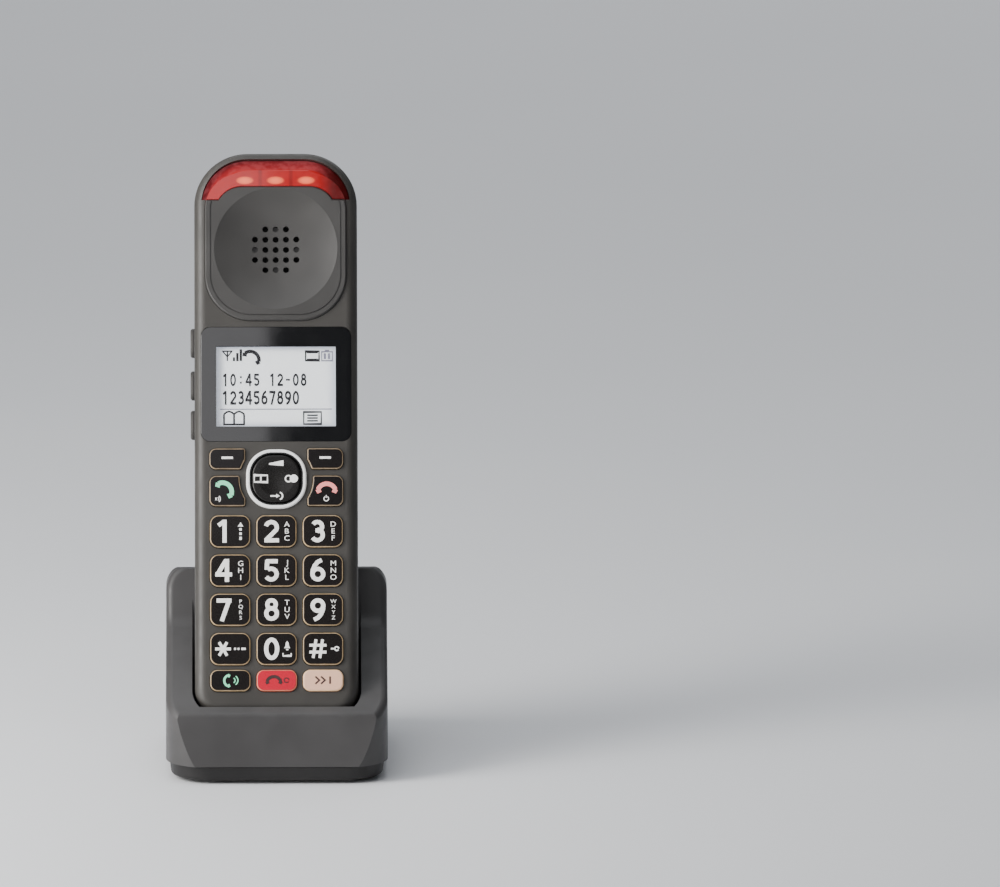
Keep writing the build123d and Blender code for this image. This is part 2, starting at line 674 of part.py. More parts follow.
def top_case():
    form = cradle_form()
    upper = [f for f in form.faces() if f.normal_at().Z > 0.3 and abs(f.normal_at().X) < 0.3]
    form = fillet(rim(upper), CASE_EDGE)
    case = form - cradle_form(CRADLE_WALL, CASE_LOW - 1)
    case += form & pocket(POCKET_GAP + POCKET_WALL)
    for x, y in CRADLE_SCREWS:
        case += form & rod_z(x, y, 2.8, 7.0, 60)
        case -= rod_z(x, y, SCREW_RADIUS + PILOT_GAP, 0, SCREW_TOP + 0.5)
    case -= pocket(POCKET_GAP)
    for x in (-PAD_X, PAD_X):
        case -= SEATED * block(x, PAD_Y, -3, 3.6, 2.2, 8)
    return case - rod_y(INLET_X, INLET_Z, 3.2, CRADLE_DEPTH - 6, CRADLE_DEPTH + 1)



# ---------------------------------------------------------------- cradle: base and inner pieces
BASE_INSET = 1.1        # the base band stands back from the case above it
BASE_TAPER = 8.0
BASE_FLOOR = 2.2
TONGUE_TOP = 8.0
HEAD_LEVEL = 3.4
BOARD_LEVEL = 6.4
CONTACT_TAIL = -6.0
CONTACT_TIP = 0.28


def base_cover():
    height = BAND_TOP - FOOT_GAP
    blank = Pos(0, 0, BAND_TOP) * extrude(plan_outline(BASE_INSET), amount=-height,
                                          taper=BASE_TAPER)
    under = blank.faces().sort_by(Axis.Z)[0]
    base = fillet(under.edges(), 1.4)
    tongue = Pos(0, 42.7) * RectangleRounded(64.8, 77.0, 11)
    inner = Pos(0, 42.7) * RectangleRounded(62.0, 74.2, 9.6)
    base += plate(tongue, BAND_TOP - 1, TONGUE_TOP)
    base -= plate(inner, FOOT_GAP + BASE_FLOOR, TONGUE_TOP + 1)
    for x, y in CRADLE_SCREWS:
        base += rod_z(x, y, 4.0, FOOT_GAP + 0.2, 6.85)
        base -= rod_z(x, y, SCREW_HEAD + 0.3, -1, HEAD_LEVEL)
        base -= rod_z(x, y, SCREW_RADIUS + PILOT_GAP, -1, 10)
    for x, y in FEET:
        base -= rod_z(x, y, 5.1, -1, FOOT_GAP + 1.0)
    for x, y in BOARD_POSTS:
        base += rod_z(x, y, 1.8, FOOT_GAP + 1, BOARD_LEVEL - 0.05)
    for row in range(5):
        slot = Pos(0, 36 + 4.5 * row) * SlotOverall(16, 1.4)
        base -= plate(slot, -1, 6)
    return base


def charge_contact(x):
    """Sprung blade with a round tip; shoulders keep it under the pocket floor."""
    tall = CONTACT_TIP - CONTACT_TAIL
    blade = block(x, PAD_Y, (CONTACT_TIP + CONTACT_TAIL) / 2, 3.0, 1.6, tall)
    tip = [e for e in blade.edges().filter_by(Axis.Y) if e.center().Z > 0]
    blade = fillet(tip, 1.2)
    under_floor = -(FLOOR_GAP + POCKET_WALL)
    return blade + block(x, PAD_Y, under_floor - 0.9, 4.8, 3.2, 1.5)


def cradle_board():
    board = plate(Pos(1, 44) * RectangleRounded(44, 66, 2), BOARD_LEVEL, BOARD_LEVEL + 1.6)
    board += block(-6, 50, BOARD_LEVEL + 3.1, 9, 8, 3.2)
    board += rod_z(8, 52, 3.2, BOARD_LEVEL + 1, BOARD_LEVEL + 8)
    return board


def dc_inlet():
    """Socket for the power lead, with its barrel in the back wall and a centre pin."""
    inner_wall = CRADLE_DEPTH - CRADLE_WALL
    low = BOARD_LEVEL + 1.65
    body = block(INLET_X, inner_wall - 5.2, (low + 16.2) / 2, 9, 10, 16.2 - low)
    body += rod_y(INLET_X, INLET_Z, 3.0, inner_wall - 3, CRADLE_DEPTH - 0.4)
    body -= rod_y(INLET_X, INLET_Z, 2.1, inner_wall - 7, CRADLE_DEPTH)
    return body + rod_y(INLET_X, INLET_Z, 0.65, inner_wall - 8, CRADLE_DEPTH - 1.4)


def cradle_screws():
    screws = []
    for x, y in CRADLE_SCREWS:
        head = rod_z(x, y, SCREW_HEAD, HEAD_LEVEL - 1.7, HEAD_LEVEL)
        head -= block(x, y, HEAD_LEVEL - 1.7, 2.8, 0.7, 1.4)
        head -= block(x, y, HEAD_LEVEL - 1.7, 0.7, 2.8, 1.4)
        screws.append(head + rod_z(x, y, SCREW_RADIUS, HEAD_LEVEL - 0.1, SCREW_TOP))
    return Compound(screws)


def feet():
    pads = []
    for x, y in FEET:
        pad = rod_z(x, y, 5.0, 0, FOOT_GAP + 0.95)
        pads.append(fillet(pad.edges().sort_by(Axis.Z)[0], 0.4))
    return Compound(pads)


cradle("cradle_top_case", top_case())
cradle("cradle_base_cover", base_cover())
cradle("charge_contact_left", SEATED * charge_contact(-PAD_X))
cradle("charge_contact_right", SEATED * charge_contact(PAD_X))
cradle("cradle_board", cradle_board())
cradle("dc_inlet", dc_inlet())
cradle("ballast_weight", block(0, 57, FOOT_GAP + BASE_FLOOR + 1.45, 36, 14, 2.8))
cradle("rubber_feet", feet())
cradle("cradle_screws", cradle_screws())

# ---------------------------------------------------------------- origin and files
whole = Compound([Compound([shape]) for shape in pieces.values()]).bounding_box()
to_origin = Pos(-whole.center().X, -whole.center().Y, -whole.min.Z)
os.makedirs("parts", exist_ok=True)
for name, shape in pieces.items():
    export_step(to_origin * shape, f"parts/{name}.step")
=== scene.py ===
# A slim cordless handset standing in its small charging cradle.
from math import cos, pi, radians, sin

import bmesh
import bpy
from mathutils import Matrix, Vector


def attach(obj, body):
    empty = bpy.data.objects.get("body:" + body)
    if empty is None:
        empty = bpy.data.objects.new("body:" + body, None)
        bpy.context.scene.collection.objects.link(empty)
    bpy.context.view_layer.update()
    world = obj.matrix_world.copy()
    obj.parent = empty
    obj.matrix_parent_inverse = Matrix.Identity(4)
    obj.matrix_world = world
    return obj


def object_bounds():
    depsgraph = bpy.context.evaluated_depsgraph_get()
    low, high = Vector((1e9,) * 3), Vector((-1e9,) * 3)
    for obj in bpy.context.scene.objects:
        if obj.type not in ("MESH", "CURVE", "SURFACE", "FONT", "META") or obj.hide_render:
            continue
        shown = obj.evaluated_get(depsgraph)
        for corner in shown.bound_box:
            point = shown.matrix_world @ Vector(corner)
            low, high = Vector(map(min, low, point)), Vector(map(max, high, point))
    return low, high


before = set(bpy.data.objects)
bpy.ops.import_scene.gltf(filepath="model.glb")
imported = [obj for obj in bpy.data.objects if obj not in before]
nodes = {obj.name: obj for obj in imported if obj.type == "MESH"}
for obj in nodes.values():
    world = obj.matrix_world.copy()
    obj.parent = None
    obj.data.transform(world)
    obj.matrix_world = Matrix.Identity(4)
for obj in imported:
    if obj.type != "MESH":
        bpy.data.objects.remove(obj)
cad_low, cad_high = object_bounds()

# ------------------------------------------------------------------ handset casing
# Two injection-moulded halves in dark warm grey ABS, screwed together from behind, with
# a snap-in battery cover.  The tool was spark-eroded, so the skin has a fine even grain.
MM = 0.001


class Wire:
    """A shader socket that can stand in a sum, a product or a comparison."""

    def __init__(self, finish, socket):
        self.finish, self.socket = finish, socket

    def maths(self, operation, first, second=None):
        values = {0: first} if second is None else {0: first, 1: second}
        return self.finish.node("ShaderNodeMath", {"operation": operation}, values)

    def __add__(self, other):
        return self.maths("ADD", self, other)

    def __sub__(self, other):
        return self.maths("SUBTRACT", self, other)

    def __mul__(self, other):
        return self.maths("MULTIPLY", self, other)

    def __truediv__(self, other):
        return self.maths("DIVIDE", self, other)

    def __radd__(self, other):
        return self.maths("ADD", other, self)

    def __rsub__(self, other):
        return self.maths("SUBTRACT", other, self)

    def __rmul__(self, other):
        return self.maths("MULTIPLY", other, self)

    def __pow__(self, other):
        return self.maths("POWER", self, other)

    def __abs__(self):
        return self.maths("ABSOLUTE", self)

    def at_most(self, other):
        return self.maths("MINIMUM", self, other)

    def at_least(self, other):
        return self.maths("MAXIMUM", self, other)

    def ramp(self, low, high, low_value=0.0, high_value=1.0):
        """Goes smoothly from one value to another between two limits."""
        return self.finish.node(
            "ShaderNodeMapRange", {"interpolation_type": "SMOOTHSTEP"},
            {0: self, 1: low, 2: high, 3: low_value, 4: high_value})


class Finish:
    """One material with a Principled shader, built up from expressions."""

    def __init__(self, name, colour, roughness, **fixed):
        self.material = bpy.data.materials.new(name)
        self.material.use_nodes = True
        self.tree = self.material.node_tree
        self.shader = self.tree.nodes["Principled BSDF"]
        self.shader.inputs["Base Color"].default_value = (*colour, 1.0)
        self.shader.inputs["Roughness"].default_value = roughness
        for key, value in fixed.items():
            self.shader.inputs[key.replace("_", " ")].default_value = value

    def node(self, kind, settings, values, output=0):
        made = self.tree.nodes.new(kind)
        for key, value in settings.items():
            setattr(made, key, value)
        for key, value in values.items():
            if isinstance(value, Wire):
                self.tree.links.new(value.socket, made.inputs[key])
            else:
                made.inputs[key].default_value = value
        return Wire(self, made.outputs[output])

    def place(self):
        """Position on the piece, in metres."""
        return self.node("ShaderNodeTexCoord", {}, {}, "Object")

    def axis(self, direction):
        """Distance along a direction, in millimetres."""
        along = [component / MM for component in direction]
        return self.node("ShaderNodeVectorMath", {"operation": "DOT_PRODUCT"},
                         {0: self.place(), 1: along}, "Value")

    def noise(self, grains_per_mm, detail=2.0, roughness=0.5):
        return self.node("ShaderNodeTexNoise", {},
                         {"Vector": self.place(), "Scale": grains_per_mm / MM,
                          "Detail": detail, "Roughness": roughness})

    def blend(self, share, first, second):
        """Mixes two colours, or a colour and a wire."""
        first = first if isinstance(first, Wire) else (*first, 1.0)
        second = second if isinstance(second, Wire) else (*second, 1.0)
        return self.node("ShaderNodeMix", {"data_type": "RGBA"},
                         {0: share, 6: first, 7: second}, 2)

    def set(self, **sockets):
        for key, wire in sockets.items():
            self.tree.links.new(wire.socket, self.shader.inputs[key.replace("_", " ")])
        return self

    def bump(self, height, depth_mm, strength=1.0):
        normal = self.node("ShaderNodeBump", {}, {"Height": height, "Distance": depth_mm * MM,
                                                  "Strength": strength})
        return self.set(Normal=normal)

    def wear(self, *names):
        """Puts this material on CAD nodes."""
        for name in names:
            data = nodes[name].data
            data.materials.clear()
            data.materials.append(self.material)
        return self


def moulded(name, colour, roughness, grain_per_mm=4.5, grain_mm=0.022):
    """Grained thermoplastic: even skin, faint flow tone, slightly polished high spots."""
    finish = Finish(name, colour, roughness, Specular_IOR_Level=0.34)
    grain = finish.noise(grain_per_mm, 3.0, 0.6)
    flow = finish.noise(0.045, 2.0)
    polish = finish.noise(0.22, 3.0, 0.62)
    lighter = [min(1.0, c * 1.12 + 0.002) for c in colour]
    darker = [c * 0.92 for c in colour]
    tone = finish.blend(flow.ramp(0.32, 0.68), darker, lighter)
    finish.set(Base_Color=finish.blend(grain.ramp(0.45, 0.8, 0.0, 0.16), tone, lighter))
    finish.set(Roughness=polish.ramp(0.3, 0.7, roughness - 0.05, roughness + 0.07)
               + (grain - 0.5) * 0.1)
    return finish.bump(grain, grain_mm, 0.55)


SHELL = (0.046, 0.043, 0.039)
moulded("handset_shell", SHELL, 0.43).wear(
    "handset_front_case", "handset_rear_case", "battery_cover")
moulded("side_button_rubber", (0.034, 0.032, 0.030), 0.5, 5.0).wear(
    "tone_button", "volume_button", "boost_button")


# ------------------------------------------------------------------ earpiece panel
# A raised pad with a shallow dish for the ear, moulded in the same plastic as the case and
# pressed in from the front.  The dish is finer grained, so it looks a little smoother.
LEAN = radians(22)                       # the seated handset leans back this far
UPRIGHT_TO_SEATED = Matrix.Rotation(-LEAN, 4, "X")


def local_box(name):
    """Lowest and highest corner of a CAD node along the handset's own axes, in metres."""
    back = UPRIGHT_TO_SEATED.inverted()
    points = [back @ v.co for v in nodes[name].data.vertices]
    return (Vector([min(p[i] for p in points) for i in range(3)]),
            Vector([max(p[i] for p in points) for i in range(3)]))


def lay_on_face(mesh, middle, front):
    """Stands a flat drawing up, at middle (x and height), its back on the plane at front."""
    turn = Matrix(((1, 0, 0, middle[0]), (0, 0, -1, front), (0, 1, 0, middle[1]), (0, 0, 0, 1)))
    mesh.transform(UPRIGHT_TO_SEATED @ turn @ Matrix.Scale(MM, 4))
    return mesh


def piece(name, mesh, finish, body):
    """A finished piece at the origin that rides on a body."""
    item = bpy.data.objects.new(name, mesh)
    bpy.context.scene.collection.objects.link(item)
    mesh.materials.clear()
    mesh.materials.append(finish.material)
    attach(item, body)
    return item


moulded("earpiece_skin", (0.048, 0.046, 0.044), 0.38, 6.0, 0.014).wear("earpiece_panel")

foam = Finish("gasket_foam", (0.02, 0.02, 0.02), 0.9)
foam_cells = foam.noise(3.0, 2.0)
foam.set(Base_Color=foam.blend(foam_cells.ramp(0.35, 0.65), (0.006, 0.006, 0.006),
                               (0.03, 0.03, 0.03)))
foam.bump(foam_cells, 0.1).wear("earpiece_gasket")

cloth = Finish("acoustic_cloth", (0.010, 0.010, 0.010), 0.7)
fibre = cloth.noise(2.5, 2.0)
cloth.set(Base_Color=cloth.blend(fibre, (0.006, 0.006, 0.006), (0.022, 0.022, 0.023)),
          Roughness=fibre.ramp(0.3, 0.7, 0.6, 0.85))
CLOTH_RADIUS = 8.4                   # inside the foam ring
THREAD_PITCH = 0.4
THREAD_RADIUS = 0.13
WEFT_BEHIND = 0.00034                # metres from the gasket's front to each layer of thread
WARP_BEHIND = 0.00018


def node_group(name, inputs):
    """An empty Geometry Nodes group and the socket identifiers of its inputs."""
    group = bpy.data.node_groups.new(name, "GeometryNodeTree")
    group.interface.new_socket("Geometry", in_out="INPUT", socket_type="NodeSocketGeometry")
    ids = {label: group.interface.new_socket(label, in_out="INPUT", socket_type=kind).identifier
           for label, kind in inputs.items()}
    group.interface.new_socket("Geometry", in_out="OUTPUT", socket_type="NodeSocketGeometry")
    return group, ids


def add_node(group, kind, values=None, links=None, **settings):
    made = group.nodes.new(kind)
    for key, value in settings.items():
        setattr(made, key, value)
    for key, value in (values or {}).items():
        made.inputs[key].default_value = value
    for key, socket in (links or {}).items():
        group.links.new(socket, made.inputs[key])
    return made


def grown(name, group, ids, values, start, last, finish):
    """Ends the group, runs it on the starting mesh and gives back one plain mesh."""
    real = add_node(group, "GeometryNodeRealizeInstances", links={0: last})
    painted = add_node(group, "GeometryNodeSetMaterial", {"Material": finish.material},
                       {"Geometry": real.outputs[0]})
    sink = group.nodes.new("NodeGroupOutput")
    group.links.new(painted.outputs[0], sink.inputs["Geometry"])
    carrier = bpy.data.objects.new(name + "_carrier", start)
    bpy.context.scene.collection.objects.link(carrier)
    modifier = carrier.modifiers.new(name, "NODES")
    modifier.node_group = group
    for label, value in values.items():
        modifier[ids[label]] = value
    bpy.context.view_layer.update()
    made = bpy.data.meshes.new_from_object(
        carrier.evaluated_get(bpy.context.evaluated_depsgraph_get()))
    made.name = name
    bpy.data.objects.remove(carrier)
    return made


def thread_rows(turn_over):
    """Points along one side of the cloth, each carrying its thread's half length."""
    count = int(2 * CLOTH_RADIUS / THREAD_PITCH)
    rows = [-CLOTH_RADIUS + 0.3 + THREAD_PITCH * i for i in range(count)]
    mesh = bpy.data.meshes.new("rows")
    mesh.from_pydata([(0, row, 0) if turn_over else (row, 0, 0) for row in rows], [], [])
    half = mesh.attributes.new("half_length", "FLOAT", "POINT")
    for value, row in zip(half.data, rows):
        value.value = max(0.6, (CLOTH_RADIUS ** 2 - row * row) ** 0.5)
    return mesh


for way, turn_over, behind in (("weft", True, WEFT_BEHIND), ("warp", False, WARP_BEHIND)):
    group, ids = node_group(f"cloth_{way}", {"Thread": "NodeSocketFloat"})
    source = group.nodes.new("NodeGroupInput")
    thread = add_node(group, "GeometryNodeMeshCylinder", {"Vertices": 6, "Depth": 2.0},
                      {"Radius": source.outputs["Thread"]})
    half = add_node(group, "GeometryNodeInputNamedAttribute", {"Name": "half_length"})
    stretch = add_node(group, "ShaderNodeCombineXYZ", {0: 1.0, 1: 1.0},
                       {2: half.outputs["Attribute"]})
    rows = add_node(group, "GeometryNodeMeshToPoints", links={"Mesh": source.outputs["Geometry"]})
    laid = add_node(group, "GeometryNodeInstanceOnPoints",
                    {"Rotation": (0, pi / 2, 0) if turn_over else (pi / 2, 0, 0)},
                    {"Points": rows.outputs[0], "Instance": thread.outputs["Mesh"],
                     "Scale": stretch.outputs[0]})
    mesh = grown(f"earpiece_cloth_{way}", group, ids, {"Thread": THREAD_RADIUS},
                 thread_rows(turn_over), laid.outputs[0], cloth)
    ear_low, ear_high = local_box("earpiece_gasket")
    lay_on_face(mesh, (0.0, (ear_low.z + ear_high.z) / 2), ear_low.y + behind)
    piece(f"earpiece_cloth_{way}", mesh, cloth, "handset")


# ------------------------------------------------------------------ ringer light
# The band over the earpiece is a clear red moulding lit by three lamps, with a white channel
# with open cells behind it.  The lens's glow is painted, with painted shade between the lamps and
# towards its right end.
FACE_NORMAL = (0.0, -cos(LEAN), sin(LEAN))
HANDSET_UP = (0.0, sin(LEAN), cos(LEAN))
LAMP_PITCH = 9.8
GLOW_BELOW_LAMP = 2.2                # each bright patch sits under its lamp
GLOW_HALF_WIDE, GLOW_HALF_TALL = 3.2, 1.5
WEB_SHADE_HALF = 1.0                       # painted shade on the lens over the channel's walls between the lamps
RIGHT_SHADE_FROM, RIGHT_SHADE_TO = 12.0, 19.0
lamp_low, lamp_high = local_box("ringer_leds")
lamp_height = (lamp_low.z + lamp_high.z) / 2 / MM
lens_front = -local_box("ringer_light_lens")[0].y / MM

lens = Finish("red_lens", (0.30, 0.006, 0.006), 0.16, Coat_Weight=0.5, Coat_Roughness=0.05,
              Emission_Strength=0.5, Specular_IOR_Level=0.35)
across = lens.axis((1, 0, 0))
upward = lens.axis(HANDSET_UP)
forward = lens.axis(FACE_NORMAL)
tall = (upward - (lamp_height - GLOW_BELOW_LAMP)) / GLOW_HALF_TALL
# painted glow: a bright patch on the lens under each lamp
glow_patch = []
for lamp in (-LAMP_PITCH, 0.0, LAMP_PITCH):
    wide = (across - lamp) / GLOW_HALF_WIDE
    glow_patch.append((wide * wide + tall * tall).ramp(0.0, 1.0, 1.0, 0.0))
glow_patches = glow_patch[0] + glow_patch[1] + glow_patch[2]
# painted shade on the lens over the channel's walls between the lamps
web_shade = [abs(across - middle).ramp(0.15, WEB_SHADE_HALF, 1.0, 0.0)
       for middle in (-LAMP_PITCH / 2, LAMP_PITCH / 2)]
web_shades = web_shade[0] + web_shade[1]
lit_band = forward.ramp(lens_front - 1.4, lens_front - 0.5)
# painted shade: the lens's glow and colour darken towards its right end
right_end_shade = across.ramp(RIGHT_SHADE_FROM, RIGHT_SHADE_TO)
sparkle = lens.noise(0.5, 3.0)
glow_red = lens.blend(web_shades * lit_band * 0.75, (0.66, 0.004, 0.004), (0.12, 0.001, 0.001))
glow_red = lens.blend(glow_patches.at_most(1.0) * (lit_band * 0.85 + 0.15), glow_red,
                      (3.2, 0.60, 0.24))
glow_upper = lens.blend(sparkle.ramp(0.35, 0.65), (0.30, 0.040, 0.050), (0.50, 0.10, 0.115))
glow = lens.blend(lit_band, glow_upper, glow_red)
glow = lens.blend(right_end_shade * 0.92, glow, (0.035, 0.001, 0.001))
resin = lens.blend(sparkle, (0.13, 0.003, 0.003), (0.24, 0.010, 0.010))
# the lens emits this painted glow itself
lens.set(Emission_Color=glow,
         Base_Color=lens.blend(right_end_shade * 0.8, resin, (0.03, 0.001, 0.001)))
lens.set(Roughness=sparkle.ramp(0.3, 0.7, 0.12, 0.24))
lens.bump(lens.noise(0.25, 2.0), 0.05, 0.5)
lens.wear("ringer_light_lens")

channel = Finish("white_channel", (0.82, 0.78, 0.76), 0.45)
channel_tone = channel.noise(0.8, 3.0)
channel.set(Base_Color=channel.blend(channel_tone, (0.72, 0.66, 0.64), (0.9, 0.88, 0.86)))
channel.bump(channel_tone, 0.02, 0.4).wear("light_reflector", "lcd_backlight")

lamp_body = Finish("lamp_body", (0.9, 0.5, 0.35), 0.2, Emission_Strength=3.0)
spread = lamp_body.noise(1.5)
lamp_body.set(Emission_Color=lamp_body.blend(spread, (1.0, 0.16, 0.06), (1.0, 0.34, 0.16)))
lamp_body.wear("ringer_leds")


# ------------------------------------------------------------------ display
# A clear window, printed black from behind all round the lit display, with the display
# glass and its light box under it.  The display shows dark segments on a pale ground.
LCD_WIDE, LCD_TALL = 38.1, 26.0
DOT_PITCH = 0.42                     # the display's faint lattice
DOT_COUNT_OFFSET = 500               # keeps the lattice count above zero everywhere
glass_low, glass_high = local_box("lcd_module")
lcd_middle = (0.0, (glass_low.z + glass_high.z) / 2)

window = Finish("display_window", (0.004, 0.004, 0.0045), 0.06, Coat_Weight=0.35,
                Coat_Roughness=0.03, Specular_IOR_Level=0.45)
off_x = abs(window.axis((1, 0, 0))) - LCD_WIDE / 2
off_z = abs(window.axis(HANDSET_UP) - lcd_middle[1] / MM) - LCD_TALL / 2
outside = off_x.at_least(off_z).ramp(-0.06, 0.06)
window.set(Alpha=outside * 0.94 + 0.06)
smear = window.noise(0.12, 3.0)
window.set(Roughness=smear.ramp(0.3, 0.7, 0.05, 0.09))
window.set(Base_Color=window.blend(smear, (0.0035, 0.0035, 0.004), (0.006, 0.006, 0.0065)))
window.wear("display_window")

# The pale ground is given a painted glow for the light box under it, and painted shade towards its
# edges.
lcd = Finish("lcd_ground", (0.62, 0.66, 0.70), 0.3, Emission_Strength=0.62)
cell = [lcd.node("ShaderNodeMath", {"operation": "FRACT"},
                 {0: lcd.axis(way) / DOT_PITCH + DOT_COUNT_OFFSET})
        for way in ((1, 0, 0), HANDSET_UP)]
lattice = cell[0].at_most(cell[1]).ramp(0.02, 0.14)
edge_shade = (abs(lcd.axis((1, 0, 0))) / (LCD_WIDE / 2)).at_least(
    abs(lcd.axis(HANDSET_UP) - lcd_middle[1] / MM) / (LCD_TALL / 2)).ramp(0.82, 1.0)
pale = lcd.blend(lattice, (0.80, 0.84, 0.88), (0.90, 0.93, 0.95))
pale = lcd.blend(edge_shade, pale, (0.62, 0.66, 0.74))
lcd.set(Base_Color=pale, Emission_Color=pale)
lcd.wear("lcd_module")

segment = Finish("lcd_segment", (0.012, 0.012, 0.016), 0.4)
grey_segment = Finish("lcd_grey_segment", (0.28, 0.28, 0.36), 0.4)
for finish in (segment, grey_segment):
    finish.set(Roughness=finish.noise(2.0).ramp(0.3, 0.7, 0.35, 0.5))


def outline_area(points):
    """A filled flat shape from its corner points."""
    mesh = bpy.data.meshes.new("area")
    mesh.from_pydata([(x, y, 0) for x, y in points], [], [range(len(points))])
    return mesh


def stroke(points, width, closed=False):
    """A flat line of constant width along points."""
    made = bmesh.new()
    count = len(points)
    rails = []
    for i, point in enumerate(points):
        before = points[(i - 1) % count] if closed or i else point
        after = points[(i + 1) % count] if closed or i < count - 1 else point
        way = (Vector(after) - Vector(before)).normalized()
        leg = (Vector(after) - Vector(point)).normalized() if after != point else way
        side = Vector((-way.y, way.x)) * width / 2 / max(0.6, way.dot(leg))
        rails.append([made.verts.new((*(Vector(point) + side), 0)),
                      made.verts.new((*(Vector(point) - side), 0))])
    for i in range(count if closed else count - 1):
        a, b = rails[i], rails[(i + 1) % count]
        made.faces.new((a[0], a[1], b[1], b[0]))
    mesh = bpy.data.meshes.new("line")
    made.to_mesh(mesh)
    made.free()
    return mesh


def arc(radius, start, end, steps=14, middle=(0, 0)):
    """Points along a circular arc; angles in degrees."""
    turns = [radians(start + (end - start) * i / steps) for i in range(steps + 1)]
    return [(middle[0] + radius * cos(t), middle[1] + radius * sin(t)) for t in turns]


def shifted(mesh, x, y, turn=0.0, scale=1.0):
    mesh.transform(Matrix.Translation((x, y, 0)) @ Matrix.Rotation(radians(turn), 4, "Z")
                   @ Matrix.Scale(scale, 4))
    return mesh


def handset_icon(size, fat=0.2):
    """A telephone handset lying across, arched upwards: an arc with a pad at each end."""
    radius = size * 0.52
    rise = stroke(arc(radius, 158, 22, 12, (0, -radius * 0.55)), size * fat)
    ends = []
    for side in (-1, 1):
        pad = outline_area([(-0.13 * size, -0.11 * size), (0.13 * size, -0.11 * size),
                            (0.15 * size, 0.11 * size), (-0.10 * size, 0.13 * size)])
        if side < 0:
            pad.transform(Matrix.Scale(-1, 4, (1, 0, 0)))
            pad.flip_normals()
        ends.append(shifted(pad, side * size * 0.44, -size * 0.17, -side * 24))
    return [rise] + ends


def turned(drawings, x, y, turn=0.0, scale=1.0):
    return [shifted(mesh, x, y, turn, scale) for mesh in drawings]


def box_line(x, y, width, height, line):
    """The outline of a rectangle."""
    w, h = width / 2, height / 2
    return stroke([(x - w, y - h), (x + w, y - h), (x + w, y + h), (x - w, y + h)], line, True)


def bar(x, y, width, height):
    w, h = width / 2, height / 2
    return outline_area([(x - w, y - h), (x + w, y - h), (x + w, y + h), (x - w, y + h)])


def open_book(x, y, size):
    """Two pages seen from the front: fold, top edge, outer edge and foot of each."""
    foot, top = y - 0.3 * size, y + 0.22 * size
    pages = []
    for side in (-1, 1):
        edge = x + side * 0.5 * size
        crest = [(x + side * size * t, top + size * 0.14 * sin(pi * t * 2))
                 for t in (0.0, 0.12, 0.25, 0.38, 0.5)]
        for line in ([(x, foot), (x + side * 0.02, top)], crest,
                     [(edge, top), (edge, y - 0.32 * size)],
                     [(x, foot), (x + side * 0.54 * size, foot)]):
            pages.append(stroke(line, 0.09 * size))
    return pages


def digit(figure, weight=1.32):
    """One figure, 7.4 high and about 5 wide, drawn with strokes of even weight."""
    lines = {
        "0": [([(1.75 * cos(radians(t)), 2.95 * sin(radians(t))) for t in range(0, 360, 15)],
               True)],
        "1": [([(0.35, -3.7), (0.35, 3.7)], False), ([(0.3, 3.2), (-1.6, 1.9)], False)],
        "2": [(arc(1.75, 165, -25, 12, (0, 1.2)) + [(-1.75, -2.9)], False),
              ([(-2.2, -2.95), (2.4, -2.95)], False)],
        "3": [(arc(1.5, 150, -90, 12, (-0.1, 1.45)), False),
              (arc(1.72, 90, -150, 14, (-0.1, -1.25)), False), ([(-0.7, 0.2), (0.2, 0.2)], False)],
        "4": [([(0.75, 3.4), (-2.0, -1.2)], False), ([(-2.7, -1.3), (2.6, -1.3)], False),
              ([(1.0, -3.7), (1.0, 3.7)], False)],
        "5": [([(-1.7, 2.95), (2.0, 2.95)], False), ([(-1.35, 3.3), (-1.5, 0.2)], False),
              (arc(1.75, 125, -150, 16, (-0.1, -1.2)), False)],
        "6": [(arc(1.7, 0, 345, 22, (0, -1.25)), True),
              ([(1.25, 3.3), (0.0, 2.7), (-1.0, 1.5), (-1.6, 0.0), (-1.7, -1.3)], False)],
        "7": [([(-2.3, 2.95), (2.4, 2.95)], False), ([(1.7, 3.1), (-0.7, -3.7)], False)],
        "8": [(arc(1.35, 0, 342, 18, (0, 1.65)), True), (arc(1.7, 0, 342, 18, (0, -1.25)), True)],
    }
    if figure == "9":                    # a 9 is a 6 turned over
        return turned(digit("6", weight), 0, 0, 180)
    return [stroke(points, weight, closed) for points, closed in lines[figure]]


def figures(text, x, y, scale, pitch, weight, width=0.68):
    """A row of narrow figures on the display, with a colon or a dash between them."""
    drawings = []
    for character in text:
        if character.isdigit():
            narrow = digit(character, weight)
            for mesh in narrow:
                mesh.transform(Matrix.Diagonal((width, 1, 1, 1)))
            drawings += turned(narrow, x, y, 0, scale)
        elif character == ":":
            drawings += [bar(x, y + 0.9, 0.6, 0.6), bar(x, y - 0.9, 0.6, 0.6)]
        elif character == "-":
            drawings += [bar(x, y, 1.3, 0.6)]
        x += pitch
    return drawings


INK_MM = 0.03
LAYER_MM = 0.002         # each stroke of a mark lies this much over the one before


